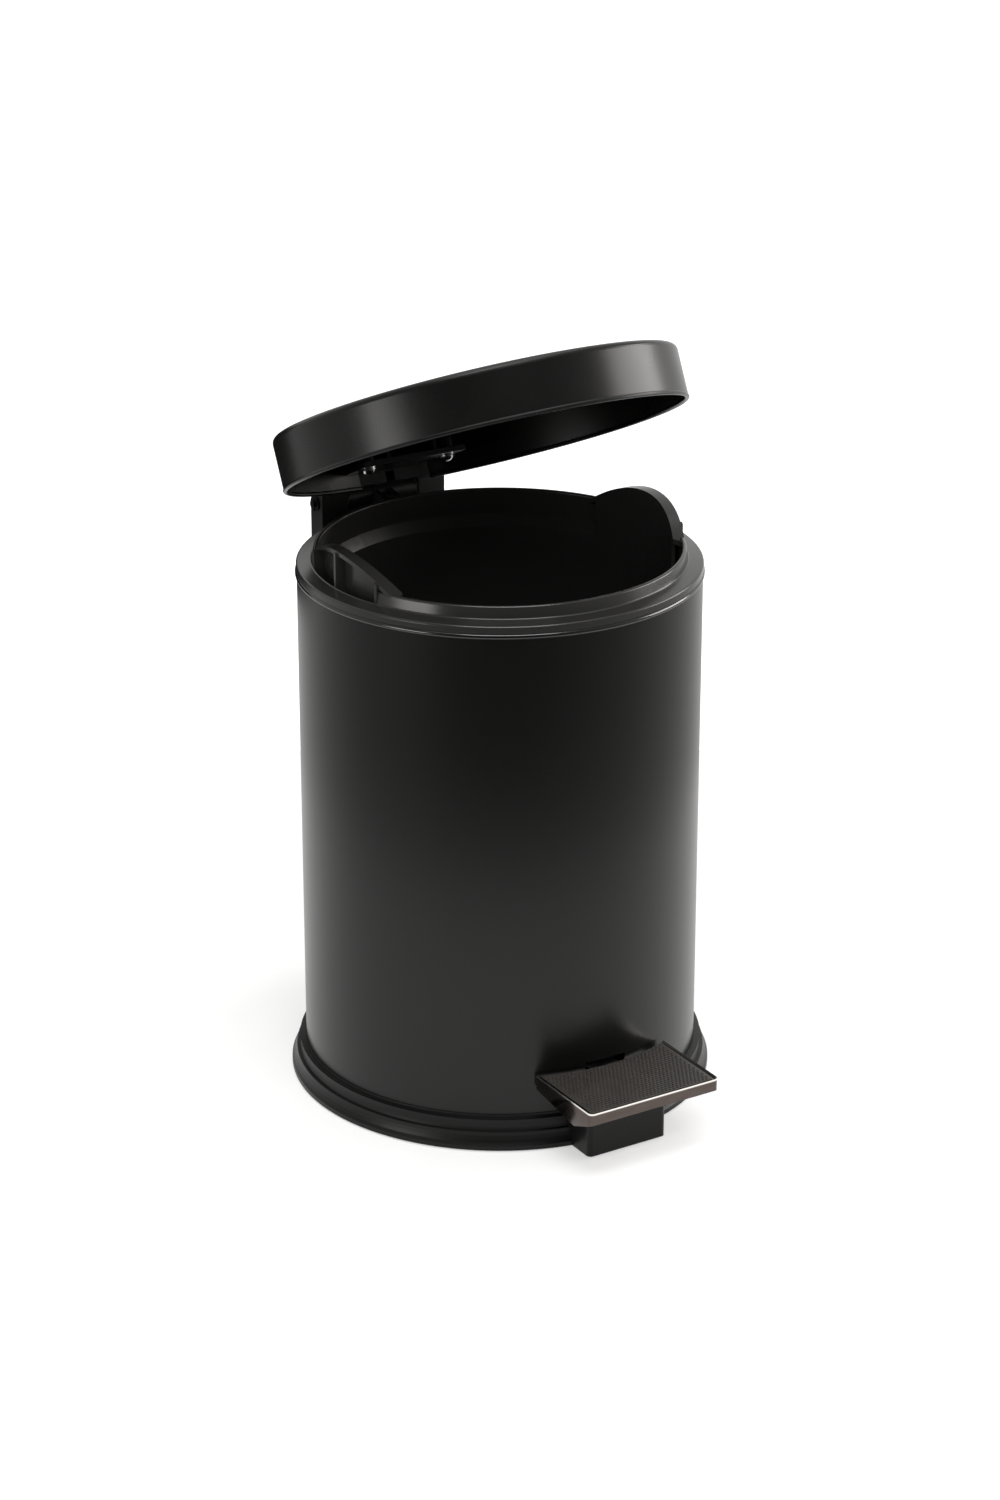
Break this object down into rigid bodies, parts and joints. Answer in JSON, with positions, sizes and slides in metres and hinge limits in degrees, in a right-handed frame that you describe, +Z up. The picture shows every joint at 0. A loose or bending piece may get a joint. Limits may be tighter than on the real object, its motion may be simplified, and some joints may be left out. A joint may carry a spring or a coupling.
{
  "type": "pedal trash can",
  "caption": "Round pedal trash can with a steel shell, a lift-out plastic bucket, a hinged drum lid and a foot pedal that opens it.",
  "frame": {"origin": "on the can's axis, at floor level", "axes": "+Z up, -Y towards the pedal and the user, +Y towards the hinge"},
  "size_m": [0.2042, 0.2627, 0.3742],
  "materials": {
    "painted_steel": "satin black paint on steel sheet",
    "black_plastic": "semi-matt black moulding",
    "bucket_plastic": "semi-matt black moulding",
    "rubber": "matt black rubber",
    "polished_steel": "polished steel sheet",
    "zinc_steel": "zinc-plated steel",
    "bright_steel": "bright turned steel",
    "nylon": "natural nylon",
    "pad": "dark grey-brown rubber with fine pimples"
  },
  "bodies": {
    "can": {"foot_ring": "rubber", "base_moulding": "black_plastic", "body_shell": "painted_steel", "base_screws": "zinc_steel", "bucket": "bucket_plastic", "hinge_housing": "black_plastic", "housing_screws": "zinc_steel", "rod_cover": "black_plastic", "cover_rivets": "zinc_steel", "hinge_pin": "bright_steel", "hinge_clips": "zinc_steel", "pedal_axle": "bright_steel", "axle_clips": "zinc_steel"},
    "lid": {"lid_shell": "painted_steel", "lid_weld_studs": "zinc_steel", "lid_arm": "black_plastic", "lid_nuts": "bright_steel", "friction_washers": "nylon", "crank_pin": "bright_steel"},
    "pedal": {"pedal_lever": "zinc_steel", "rod_pin": "bright_steel", "pedal_tray": "polished_steel", "pedal_pad": "pad", "pedal_rivets": "zinc_steel"},
    "rod": {"push_rod": "zinc_steel"}
  },
  "joints": [
    {"name": "lid_hinge", "type": "hinge", "parent": "can", "child": "lid", "pos_m": [0, 0.115, 0.259], "axis": [-1, 0, 0], "range_deg": [-26, 44]},
    {"name": "pedal_pivot", "type": "hinge", "parent": "can", "child": "pedal", "pos_m": [0, -0.025, 0.017], "axis": [1, 0, 0], "range_deg": [-2.75, 4.65]},
    {"name": "rod_slide", "type": "slide", "parent": "can", "child": "rod", "axis": [0, 0, 1], "range_m": [-0.0061, 0.0102]}
  ],
  "couplings": [
    {"joint": "pedal_pivot", "follows": "lid_hinge", "ratio": 0.1034},
    {"joint": "rod_slide", "follows": "lid_hinge", "m_per_rad": 0.013145}
  ]
}
